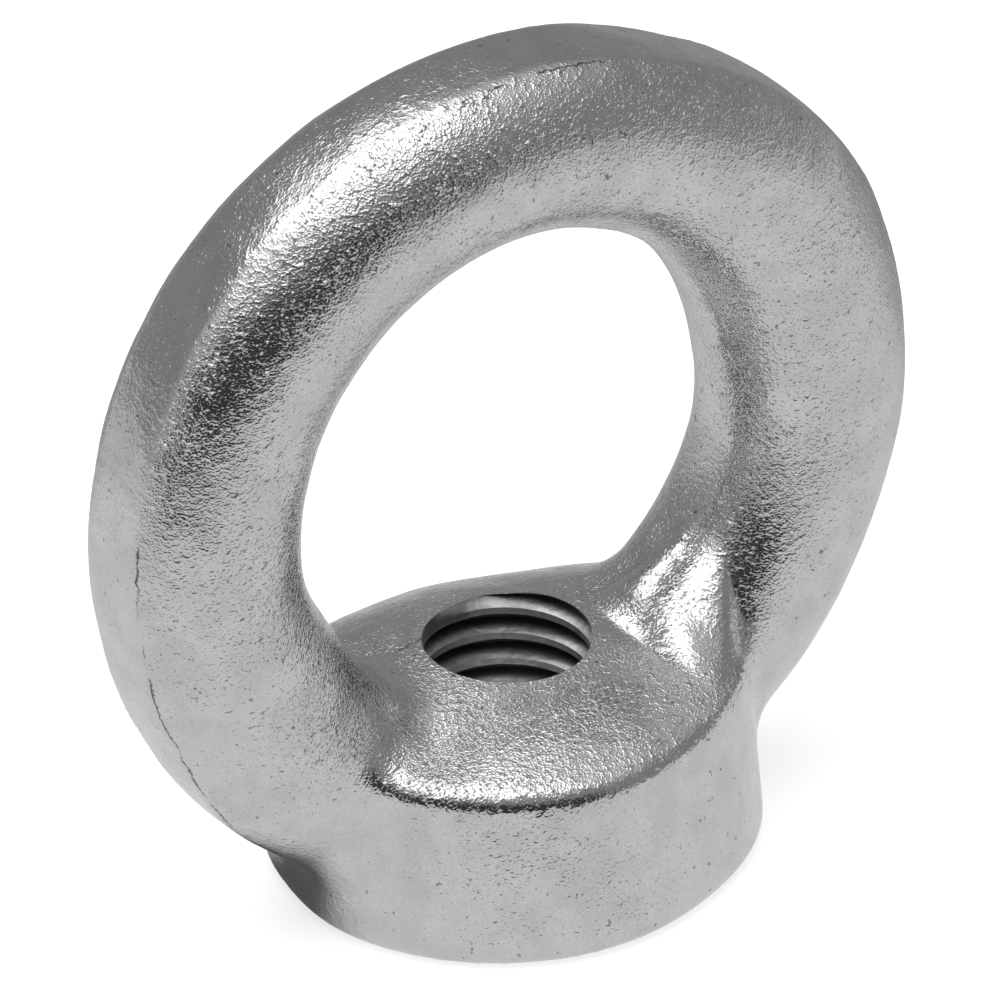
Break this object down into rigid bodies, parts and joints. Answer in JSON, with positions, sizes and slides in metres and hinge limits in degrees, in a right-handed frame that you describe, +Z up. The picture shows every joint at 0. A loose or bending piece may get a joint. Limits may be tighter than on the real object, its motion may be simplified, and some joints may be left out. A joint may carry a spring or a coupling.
{
  "type": "lifting eye nut",
  "caption": "Forged steel lifting eye nut: a round ring standing on a short collar, with a threaded hole up through the collar.",
  "frame": {"origin": "centre of the flat seat under the collar, on the axis of the threaded hole", "axes": "+Z up from the seat through the collar to the top of the ring; +X along the width of the ring; +Y through the eye"},
  "size_m": [0.054, 0.0294, 0.0535],
  "materials": {
    "zinc_plated_steel": "bright zinc plate over a shot-blasted forging, with a machined seat"
  },
  "bodies": {
    "root": {"eye_nut": "zinc_plated_steel"}
  },
  "joints": []
}
